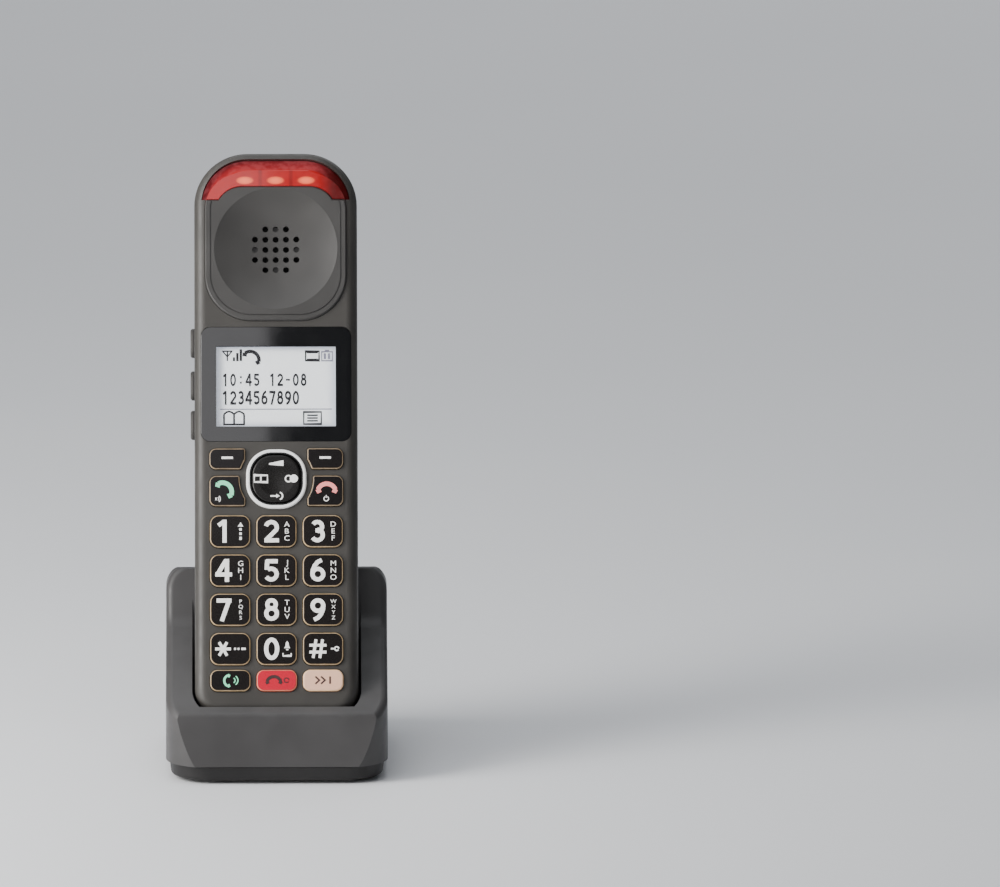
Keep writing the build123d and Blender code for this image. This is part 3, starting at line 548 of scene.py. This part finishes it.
def printed(name, drawings, middle, front, finish, body, thick=INK_MM):
    """Makes one mark of flat drawings, each given a little thickness of its own."""
    joined = bmesh.new()
    for layer, drawing in enumerate(drawings):
        made = bmesh.new()
        made.from_mesh(drawing)
        bpy.data.meshes.remove(drawing)
        bmesh.ops.remove_doubles(made, verts=made.verts, dist=1e-5)
        for face in made.faces:
            if face.normal.z < 0:
                face.normal_flip()
        raised = bmesh.ops.extrude_face_region(made, geom=made.faces[:])["geom"]
        for vert in raised:
            if isinstance(vert, bmesh.types.BMVert):
                vert.co.z += thick + LAYER_MM * layer
        bmesh.ops.recalc_face_normals(made, faces=made.faces)
        solid = bpy.data.meshes.new("layer")
        made.to_mesh(solid)
        made.free()
        joined.from_mesh(solid)
        bpy.data.meshes.remove(solid)
    mesh = bpy.data.meshes.new(name)
    joined.to_mesh(mesh)
    joined.free()
    lay_on_face(mesh, middle, front)
    return piece(name, mesh, finish, body)


EMBED = 0.00001                      # metres that a mark's back is sunk into its face
ICON_ROW = 10.0                      # millimetres above the middle of the display
MENU_ROW = -10.1


def on_screen(part, drawings, finish=segment):
    printed(f"screen_{part}", drawings, lcd_middle, glass_low.y + EMBED, finish, "handset")


on_screen("signal", [
    stroke([(-17.2, 11.6), (-13.9, 11.6)], 0.45), stroke([(-15.5, 11.6), (-15.5, 8.4)], 0.45),
    stroke([(-16.9, 11.5), (-15.5, 9.8)], 0.4), stroke([(-14.1, 11.5), (-15.5, 9.8)], 0.4),
    bar(-13.4, 9.0, 0.7, 1.3), bar(-12.3, 9.7, 0.8, 2.7), bar(-11.2, 10.3, 0.8, 3.8)])
on_screen("handset", turned(handset_icon(5.4, 0.22), -7.4, ICON_ROW, -32))
on_screen("message", [box_line(11.6, ICON_ROW, 4.3, 3.0, 0.55)]
          + [bar(11.6, ICON_ROW + side * 1.2, 3.6, 0.7) for side in (1, -1)])
on_screen("battery", [box_line(16.3, ICON_ROW - 0.1, 3.4, 2.9, 0.4),
                      bar(16.3, ICON_ROW + 1.75, 1.4, 0.5)]
          + [bar(x, ICON_ROW - 0.1, 0.8, 1.9) for x in (15.6, 16.9)], grey_segment)
on_screen("clock", figures("10:45 12-08", -16.2, 2.3, 0.56, 2.5, 1.35))
on_screen("number", figures("1234567890", -16.2, -3.5, 0.62, 2.5, 1.35))
on_screen("rule", [bar(0, -7.2, 35.6, 0.32)], grey_segment)
on_screen("book", open_book(-13.4, -10.2, 6.4))
on_screen("menu", [box_line(11.6, MENU_ROW, 5.6, 3.9, 0.5)]
          + [bar(11.6, MENU_ROW + row, 3.4, 0.5) for row in (-0.9, 0.0, 0.9)])


# ------------------------------------------------------------------ number keys
# Glossy black caps with large white figures and small stacked letters.  Each cap's rounded
# edge is left clear and given a warm colour and a painted glow, standing in for the lamp under the
# keypad, as a thin outline.
NUMBER_KEYS = {figure: f"key_{figure}" for figure in "1234567890"}
LETTERS = {"2": "ABC", "3": "DEF", "4": "GHI", "5": "JKL", "6": "MNO", "7": "PQRS", "8": "TUV",
           "9": "WXYZ"}
FIGURE_SHIFT = {"1": -2.1, "4": -2.0, "7": -2.0}
LETTER_COLUMN = 3.35
LETTER_GAP, LETTER_WIDTH = 0.5, 1.1
CAPITAL_SHARE = 0.73                 # a capital's height as a share of the font's size
key_face = -local_box("key_5")[0].y / MM      # how far forward the caps reach


def lettering(text, height, width):
    """Flat letters, centred, with capitals of the given height in millimetres."""
    curve = bpy.data.curves.new("letters", "FONT")
    curve.body = text
    curve.size = height / CAPITAL_SHARE
    curve.align_x = "CENTER"
    curve.align_y = "CENTER"
    curve.resolution_u = 4
    item = bpy.data.objects.new("letters", curve)
    bpy.context.scene.collection.objects.link(item)
    bpy.context.view_layer.update()
    mesh = bpy.data.meshes.new_from_object(
        item.evaluated_get(bpy.context.evaluated_depsgraph_get()))
    bpy.data.objects.remove(item)
    bpy.data.curves.remove(curve)
    middle = [(max(v.co[i] for v in mesh.vertices) + min(v.co[i] for v in mesh.vertices)) / 2
              for i in (0, 1)]
    mesh.transform(Matrix.Diagonal((width, 1, 1, 1))
                   @ Matrix.Translation((-middle[0], -middle[1], 0)))
    return mesh


def ink(name, colour, glow=0.0):
    """Screen-printed ink: slightly uneven film, thinner in places."""
    finish = Finish(name, colour, 0.42, Emission_Strength=glow)
    cover = finish.noise(1.6, 2.0)
    tone = finish.blend(cover.ramp(0.35, 0.7), [c * 0.9 for c in colour], colour)
    finish.set(Base_Color=tone, Roughness=cover.ramp(0.3, 0.7, 0.36, 0.5))
    # With glow, the ink also emits its colour: a painted glow, as if lit from behind.
    if glow:
        finish.set(Emission_Color=tone)
    return finish.bump(cover, 0.004, 0.4)


white_ink = ink("white_ink", (0.9, 0.89, 0.86), 0.35)


def edge_lit(name, colour, roughness, edge, depth=0.55, shine=0.3):
    """Keycap plastic whose rounded edge gets a warm colour and a painted glow for light from
    below.
    """
    finish = Finish(name, colour, roughness, Specular_IOR_Level=0.22, Coat_Weight=0.06,
                    Coat_Roughness=0.12, Emission_Strength=shine)
    below = key_face - finish.axis(FACE_NORMAL)
    line = below.ramp(0.02, 0.10) * below.ramp(depth, depth + 0.12, 1.0, 0.0)
    uneven = finish.noise(0.35, 2.0)
    edge_glow = finish.blend(uneven.ramp(0.35, 0.65), [c * 0.72 for c in edge], edge)
    fine = finish.noise(5.0, 2.0)
    # painted glow: the edge band takes the warm colour and emits it
    finish.set(Base_Color=finish.blend(line, colour, edge_glow),
               Emission_Color=finish.blend(line, (0, 0, 0), edge_glow),
               Roughness=line * 0.15 + fine.ramp(0.3, 0.7, roughness - 0.04, roughness + 0.05))
    return finish.bump(fine, 0.006, 0.4)


EDGE_GLOW_COLOUR = (0.42, 0.30, 0.17)
black_cap = edge_lit("black_keycap", (0.0075, 0.0055, 0.005), 0.24, EDGE_GLOW_COLOUR)
black_cap.wear(*NUMBER_KEYS.values(), "key_star", "key_hash", "mute_key")


def key_middle(name):
    low, high = local_box(name)
    return ((low.x + high.x) / 2, (low.z + high.z) / 2), low.y + EMBED


def on_key(key, part, drawings, finish=None):
    middle, front = key_middle(key)
    return printed(f"{key}_{part}", drawings, middle, front, finish or white_ink, key)


for figure, key in NUMBER_KEYS.items():
    on_key(key, "figure", turned(digit(figure), FIGURE_SHIFT.get(figure, -1.6), 0))
    letters = LETTERS.get(figure, "")
    pitch = 2.25 if len(letters) == 3 else 1.75
    stack = [shifted(lettering(letter, pitch - LETTER_GAP, LETTER_WIDTH), LETTER_COLUMN,
                     pitch * ((len(letters) - 1) / 2 - row)) for row, letter in enumerate(letters)]
    if stack:
        on_key(key, "letters", stack)

on_key("key_1", "message", [
    outline_area([(LETTER_COLUMN - 0.9, 1.5), (LETTER_COLUMN + 0.9, 1.5), (LETTER_COLUMN, 2.9)])]
    + [bar(LETTER_COLUMN, y, 0.8, tall) for y, tall in ((0.6, 0.8), (-0.8, 0.8), (-2.3, 1.0))])
bell = [outline_area([(2.4, 0.2), (4.3, 0.2), (3.9, 0.9), (3.8, 1.9), (3.35, 2.5), (2.9, 1.9),
                      (2.8, 0.9)]), bar(3.35, -0.25, 0.7, 0.45),
        stroke([(2.0, -1.4), (2.0, -2.3), (4.6, -2.3), (4.6, -1.4)], 0.45)]
on_key("key_0", "bell", bell)
star = [stroke([(-2.3 + 2.5 * cos(t), 2.5 * sin(t)), (-2.3 - 2.5 * cos(t), -2.5 * sin(t))], 0.9)
        for t in (0.0, pi / 3, -pi / 3)]
on_key("key_star", "star", star)
on_key("key_star", "tone", [bar(1.5, 0, 0.6, 0.7), bar(2.6, 0, 0.6, 0.7), bar(4.2, 0, 1.4, 0.7)])
hash_lines = [stroke([(x - 0.45, -3.0), (x + 0.45, 3.0)], 0.9) for x in (-2.7, -0.6)]
hash_lines += [bar(-1.65, y, 5.4, 0.9) for y in (1.1, -1.1)]
on_key("key_hash", "lines", hash_lines)
pause = [stroke([(2.5, 0), (3.6, 0)], 0.5), stroke(arc(0.62, 0, 330, 12, (4.35, 0)), 0.42)]
on_key("key_hash", "ring", pause)
GUIDE_DOT_RADIUS = 0.42              # the raised dot under the 5, found by touch
GUIDE_DOT_RISE = 0.6                 # its height as a share of its radius
dot = bmesh.new()
bmesh.ops.create_uvsphere(dot, u_segments=20, v_segments=10, radius=GUIDE_DOT_RADIUS)
dot_mesh = bpy.data.meshes.new("guide_dot")
dot.to_mesh(dot_mesh)
dot.free()
dot_mesh.transform(Matrix.Diagonal((1, 1, GUIDE_DOT_RISE, 1)))
middle, front = key_middle("key_5")
lay_on_face(dot_mesh, (middle[0] - 1.7 * MM, middle[1] - 4.45 * MM), front)
piece("key_5_guide_dot", dot_mesh, black_cap, "key_5")


# ------------------------------------------------------------------ function and call keys
# Three pills under the keypad: mute in black, a red one and a peach one.  Soft keys and
# call keys sit round the navigator; their icons show white, green and pink.
green_ink = ink("green_ink", (0.20, 0.72, 0.42), 0.5)
pink_ink = ink("pink_ink", (0.86, 0.26, 0.24), 0.5)
dark_ink = ink("dark_ink", (0.05, 0.02, 0.02))
red_cap = edge_lit("red_keycap", (0.55, 0.012, 0.035), 0.26, (0.62, 0.20, 0.12), shine=0.35)
red_cap.wear("block_key")
peach_cap = edge_lit("peach_keycap", (0.86, 0.52, 0.36), 0.3, (0.95, 0.62, 0.36), shine=0.3)
peach_cap.wear("slow_key")
call_cap = edge_lit("call_keycap", (0.0065, 0.005, 0.005), 0.2, (0.30, 0.22, 0.14), shine=0.22)
call_cap.wear("talk_key", "end_key", "soft_key_left", "soft_key_right")

mute_mark = turned(handset_icon(3.6, 0.2), -1.1, -0.1, 90) + [
    stroke(arc(0.9, -60, 60, 8, (0.6, 0)), 0.35), stroke(arc(1.7, -55, 55, 8, (0.7, 0)), 0.35)]
on_key("mute_key", "icon", mute_mark, green_ink)
on_key("block_key", "icon", turned(handset_icon(4.6, 0.24), -0.9, 0.1), dark_ink)
on_key("block_key", "ring", [stroke(arc(0.75, 0, 330, 14, (3.1, 0)), 0.4)], dark_ink)
chevrons = [stroke([(x, 1.2), (x + 1.3, 0), (x, -1.2)], 0.55) for x in (-2.5, -0.7)]
on_key("slow_key", "icon", chevrons + [stroke([(2.2, 1.2), (2.2, -1.2)], 0.6)], dark_ink)
for key, finish, side, turn in (("talk_key", green_ink, -1, -42), ("end_key", pink_ink, 1, 0)):
    on_key(key, "icon", turned(handset_icon(5.7, 0.25), side * 0.45, 0.9, turn), finish)
waves = [stroke(arc(r, -50, 50, 8, (-3.4, -2.6)), 0.28) for r in (0.65, 1.2)]
on_key("talk_key", "speaker", [bar(-3.6, -2.6, 0.45, 0.8)] + waves)
on_key("end_key", "power", [stroke(arc(0.75, 120, 420, 14, (0.3, -2.6)), 0.28),
                            bar(0.3, -1.9, 0.28, 0.9)])
for key in ("soft_key_left", "soft_key_right"):
    on_key(key, "dash", [bar(0, 0.3, 3.6, 0.75)])


# ------------------------------------------------------------------ navigator
# A square rocker with a bowl-shaped face inside a silver ring with a painted glow.  The four marks
# follow the bowl, so each is pressed back to the curve after it is drawn.
BOWL_RADIUS = 40.0
BOWL_DEPTH = 0.4
MARK_CLEAR = 0.015                   # millimetres of lift that keep a mark off the bowl
nav_low, nav_high = local_box("navigator_key")
nav_middle = ((nav_low.x + nav_high.x) / 2, (nav_low.z + nav_high.z) / 2)

rocker = Finish("navigator_cap", (0.010, 0.009, 0.009), 0.24, Specular_IOR_Level=0.25)
rocker_grain = rocker.noise(4.0, 2.0)
rocker.set(Roughness=rocker_grain.ramp(0.3, 0.7, 0.2, 0.32))
rocker.set(Base_Color=rocker.blend(rocker.noise(0.3), (0.007, 0.006, 0.006),
                                   (0.012, 0.011, 0.010)))
rocker.bump(rocker_grain, 0.008, 0.4).wear("navigator_key")

ring_metal = Finish("silver_ring_painted_glow", (0.80, 0.80, 0.79), 0.25, Emission_Strength=0.22)
RING_HALF, RING_CORNER, RING_LINE = 9.55, 8.2, 1.0
ring_x = abs(ring_metal.axis((1, 0, 0))) - (RING_HALF - RING_CORNER)
ring_z = abs(ring_metal.axis(HANDSET_UP) - nav_middle[1] / MM) - (RING_HALF - RING_CORNER)
reach = ring_x.at_least(0.0) ** 2.0 + ring_z.at_least(0.0) ** 2.0
from_edge = RING_CORNER - reach ** 0.5
silver_band = from_edge.ramp(RING_LINE - 0.05, RING_LINE + 0.05, 1.0, 0.0)
ring_scuff = ring_metal.noise(0.9, 4.0, 0.7)
ring_metal.set(Roughness=ring_scuff.ramp(0.3, 0.75, 0.2, 0.38))
silver = ring_metal.blend(ring_scuff, (0.74, 0.74, 0.73), (0.92, 0.92, 0.9))
# the silver band also emits its colour: a painted glow
ring_metal.set(Base_Color=ring_metal.blend(silver_band, (0.008, 0.008, 0.008), silver),
               Emission_Color=ring_metal.blend(silver_band, (0, 0, 0), silver))
ring_metal.wear("navigator_ring")


def bowl_depth(x, y):
    """How far the bowl lies behind the rocker's front face."""
    return max(0.0, (BOWL_RADIUS ** 2 - x * x - y * y) ** 0.5 - BOWL_RADIUS + BOWL_DEPTH)


nav_marks = {
    "up": [outline_area([(-2.3, 4.5), (2.3, 4.1), (2.3, 5.9), (-2.3, 5.0)])],
    "down": [stroke([(-1.9, -5.6), (0.1, -5.6)], 0.5),
             outline_area([(0.0, -6.3), (1.1, -5.6), (0.0, -4.9)]),
             stroke(arc(1.25, -70, 70, 8, (0.75, -5.6)), 0.45)],
    "left": [box_line(-4.9, 0, 4.2, 2.2, 0.5), bar(-4.9, 0, 0.5, 1.9)],
    "right": [stroke(arc(1.0, 0, 345, 16, (3.9, 0)), 0.42),
              outline_area(arc(1.3, 0, 345, 20, (5.6, 0)))],
}
for way, drawings in nav_marks.items():
    made = printed(f"navigator_mark_{way}", drawings, nav_middle, nav_low.y, white_ink,
                   "navigator_key", 0.05)
    fine = bmesh.new()
    fine.from_mesh(made.data)
    bmesh.ops.triangulate(fine, faces=fine.faces)
    bmesh.ops.subdivide_edges(fine, edges=fine.edges, cuts=3, use_grid_fill=True)
    for vertex in fine.verts:
        seat = UPRIGHT_TO_SEATED.inverted() @ vertex.co
        deep = bowl_depth((seat.x - nav_middle[0]) / MM, (seat.z - nav_middle[1]) / MM)
        seat.y += (deep + MARK_CLEAR) * MM
        vertex.co = UPRIGHT_TO_SEATED @ seat
    fine.to_mesh(made.data)
    fine.free()


# ------------------------------------------------------------------ inside the handset
# Rubber key mat over metal domes, a green board with its parts, a shield can and the
# antenna, with two cells and the loudspeakers behind.  Plain engineering finishes.
def plain_finish(name, colour, roughness, variation=0.18, grains=0.8, depth=0.01,
                 **fixed):
    """A finish of one colour with a little uneven tone, gloss and surface."""
    finish = Finish(name, colour, roughness, **fixed)
    cloud = finish.noise(grains, 4.0, 0.6)
    finish.set(Base_Color=finish.blend(cloud.ramp(0.3, 0.7), [c * (1 - variation) for c in colour],
                                       [min(1, c * (1 + variation)) for c in colour]),
               Roughness=cloud.ramp(0.3, 0.7, roughness - 0.07, roughness + 0.07))
    return finish.bump(cloud, depth, 0.5)


plain_finish("mat_silicone", (0.36, 0.30, 0.24), 0.6).wear("key_mat")
plain_finish("dome_plate", (0.55, 0.55, 0.56), 0.3, 0.08, Metallic=1.0).wear("key_domes")
plain_finish("board_green", (0.018, 0.10, 0.038), 0.42, 0.3, 0.4).wear(
    "main_board", "cradle_board")
plain_finish("tinned_can", (0.66, 0.67, 0.68), 0.32, 0.1, 0.5, Metallic=1.0).wear("shield_can")
plain_finish("antenna_strip", (0.60, 0.56, 0.44), 0.3, 0.1, Metallic=1.0).wear("antenna")
plain_finish("capsule_alloy", (0.52, 0.53, 0.55), 0.34, 0.1, Metallic=1.0).wear("microphone")
plain_finish("speaker_frame", (0.03, 0.03, 0.032), 0.5, 0.2, 1.5).wear(
    "earpiece_receiver", "rear_loudspeaker")
plain_finish("cell_wrap", (0.045, 0.16, 0.30), 0.34, 0.12, 0.2).wear("battery_cells")
plain_finish("spring_steel", (0.70, 0.69, 0.66), 0.26, 0.1, Metallic=1.0).wear(
    "battery_contacts", "handset_charge_pads", "charge_contact_left", "charge_contact_right")
plain_finish("screw_steel", (0.42, 0.42, 0.43), 0.34, 0.15, 2.0, Metallic=1.0).wear(
    "handset_screws", "cradle_screws")
plain_finish("pivot_plastic", (0.05, 0.05, 0.05), 0.45).wear("navigator_pivot")

chip_finish = Finish("chip_bodies", (0.02, 0.02, 0.022), 0.5)
speck = chip_finish.noise(0.6, 1.0)
chip_finish.set(Base_Color=chip_finish.blend(speck.ramp(0.48, 0.52), (0.016, 0.016, 0.018),
                                             (0.20, 0.15, 0.10)),
                Roughness=speck.ramp(0.3, 0.7, 0.4, 0.6))


def scattered_chips(name, seed, spacing, size):
    """Small soldered parts scattered over a rectangle, in millimetres."""
    group, ids = node_group(name, {"Spacing": "NodeSocketFloat", "Seed": "NodeSocketInt"})
    source = group.nodes.new("NodeGroupInput")
    dots = add_node(group, "GeometryNodeDistributePointsOnFaces", {"Density Max": 2.0},
                    {"Mesh": source.outputs["Geometry"], "Distance Min": source.outputs["Spacing"],
                     "Seed": source.outputs["Seed"]}, distribute_method="POISSON")
    size_of = add_node(group, "FunctionNodeRandomValue", {0: (1.0, 0.7, 0.4), 1: (3.0, 2.0, 0.8)},
                       {"Seed": source.outputs["Seed"]}, data_type="FLOAT_VECTOR")
    chip = add_node(group, "GeometryNodeMeshCube", {"Size": (1.0, 1.0, 1.0)})
    lift = add_node(group, "GeometryNodeTransform", {"Translation": (0.0, 0.0, 0.5)},
                    {"Geometry": chip.outputs["Mesh"]})
    laid = add_node(group, "GeometryNodeInstanceOnPoints", {}, {
        "Points": dots.outputs["Points"], "Instance": lift.outputs["Geometry"],
        "Scale": size_of.outputs[0]})
    w, h = size[0] / 2, size[1] / 2
    return grown(name, group, ids, {"Spacing": spacing, "Seed": seed},
                 outline_area([(-w, -h), (w, -h), (w, h), (-w, h)]), laid.outputs[0], chip_finish)


CHIP_FIELD_UP = 0.040                # middle of the fitted area over the board's lower edge
CRADLE_FIELD = (-0.008, 0.014, 0.008)
board_low, board_high = local_box("main_board")
mesh = scattered_chips("main_board_chips", 7, 3.6, (38.0, 56.0))
mesh.transform(UPRIGHT_TO_SEATED
               @ Matrix.Translation((0, board_high.y, board_low.z + CHIP_FIELD_UP))
               @ Matrix.Rotation(-pi / 2, 4, "X") @ Matrix.Scale(MM, 4))
piece("main_board_chips", mesh, chip_finish, "handset")
mesh = scattered_chips("cradle_board_chips", 3, 3.4, (18.0, 12.0))
mesh.transform(Matrix.Translation(CRADLE_FIELD) @ Matrix.Scale(MM, 4))
piece("cradle_board_chips", mesh, chip_finish, "cradle")


# ------------------------------------------------------------------ charging cradle
# One upright half-shell in the same dark plastic as the handset, on a darker base.  Grip
# feet and a cast weight keep it steady; two sprung contacts stand in the pocket.
moulded("cradle_shell", (0.050, 0.048, 0.048), 0.41).wear("cradle_top_case")
moulded("cradle_base", (0.012, 0.011, 0.011), 0.46, 3.5, 0.03).wear("cradle_base_cover")
plain_finish("grip_rubber", (0.022, 0.022, 0.022), 0.8, 0.2, 1.5, 0.03).wear("rubber_feet")
plain_finish("cast_iron", (0.11, 0.105, 0.10), 0.62, 0.25, 1.2, 0.08, Metallic=0.7).wear(
    "ballast_weight")
plain_finish("jack_plastic", (0.018, 0.018, 0.018), 0.4).wear("dc_inlet")


# ------------------------------------------------------------------ floor, light and camera
# A plain pale floor.  A tall soft light stands to the left, with a broad weak one above
# and a dim card in front that the display window mirrors in its left half.
FLOOR_HALF = 6.0
FLOOR_GAP = 0.0002
low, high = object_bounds()
floor_finish = Finish("pale_floor", (0.80, 0.81, 0.83), 0.7)
cloud = floor_finish.noise(0.004, 2.0)
floor_finish.set(Base_Color=floor_finish.blend(cloud, (0.78, 0.79, 0.81), (0.84, 0.845, 0.86)))
floor_mesh = outline_area([(-FLOOR_HALF, -FLOOR_HALF), (FLOOR_HALF, -FLOOR_HALF),
                           (FLOOR_HALF, FLOOR_HALF), (-FLOOR_HALF, FLOOR_HALF)])
floor_mesh.name = "floor"
floor_mesh.transform(Matrix.Translation((0, 0, low.z - FLOOR_GAP)))
floor = bpy.data.objects.new("floor", floor_mesh)
bpy.context.scene.collection.objects.link(floor)
floor_mesh.materials.append(floor_finish.material)


def soft_light(name, place, aim, wide, tall, watts, colour):
    data = bpy.data.lights.new(name, "AREA")
    data.shape, data.size, data.size_y = "RECTANGLE", wide, tall
    data.energy, data.color = watts, colour
    lamp = bpy.data.objects.new(name, data)
    lamp.location = place
    lamp.rotation_euler = (Vector(aim) - Vector(place)).to_track_quat("-Z", "Y").to_euler()
    bpy.context.scene.collection.objects.link(lamp)


centre = Vector((0, 0, (low.z + high.z) / 2))
soft_light("tall_left", (-0.62, -0.30, 0.30), centre, 0.30, 0.75, 11.5, (1.0, 0.985, 0.96))
soft_light("broad_top", (-0.15, -0.05, 0.85), centre, 0.8, 0.8, 4.2, (0.94, 0.97, 1.0))
soft_light("floor_wash", (0.3, 1.7, 1.3), (0.3, 1.6, 0), 1.8, 1.2, 14.0, (0.95, 0.97, 1.0))
soft_light("weak_front", (0.25, -1.1, 0.30), centre, 0.8, 0.8, 1.0, (0.96, 0.97, 1.0))

CARD_LEFT, CARD_RIGHT, CARD_FOOT, CARD_TOP, CARD_Y = -0.6, -0.0024, 0.38, 0.62, -0.51
card_mesh = bpy.data.meshes.new("mirror_card")
card_mesh.from_pydata([(CARD_LEFT, CARD_Y, CARD_FOOT), (CARD_RIGHT, CARD_Y, CARD_FOOT),
                       (CARD_RIGHT, CARD_Y, CARD_TOP), (CARD_LEFT, CARD_Y, CARD_TOP)],
                      [], [(3, 2, 1, 0)])
card_finish = Finish("mirror_card", (0.0, 0.0, 0.0), 1.0, Emission_Strength=2.6)
card_finish.set(Emission_Color=card_finish.blend(card_finish.noise(0.002), (0.80, 0.78, 0.80),
                                                 (0.95, 0.95, 0.97)))
card = bpy.data.objects.new("mirror_card", card_mesh)
card_mesh.materials.append(card_finish.material)
bpy.context.scene.collection.objects.link(card)
card.visible_camera = False

world = bpy.data.worlds.new("studio")
bpy.context.scene.world = world
world.use_nodes = True
sky = world.node_tree.nodes["Background"].inputs
sky["Color"].default_value = (0.80, 0.84, 0.90, 1)
sky["Strength"].default_value = 0.17

VIEW_RISE = radians(12)              # the camera looks down by this much
VIEW_MIDDLE_UP, VIEW_MIDDLE_RIGHT = 0.1081, 0.0711
CAMERA_FAR = 6.0
backwards = Vector((0, -cos(VIEW_RISE), sin(VIEW_RISE)))
image_up = Vector((0, sin(VIEW_RISE), cos(VIEW_RISE)))
aim = Vector((VIEW_MIDDLE_RIGHT, cad_low.y, 0)) + image_up * VIEW_MIDDLE_UP
camera_data = bpy.data.cameras.new("camera")
camera_data.lens = 680
camera = bpy.data.objects.new("camera", camera_data)
camera.location = (Vector((0, cad_low.y, 0)) + image_up * VIEW_MIDDLE_UP
                   + backwards * CAMERA_FAR)
camera.rotation_euler = (aim - camera.location).to_track_quat("-Z", "Y").to_euler()
bpy.context.scene.collection.objects.link(camera)
bpy.context.scene.camera = camera
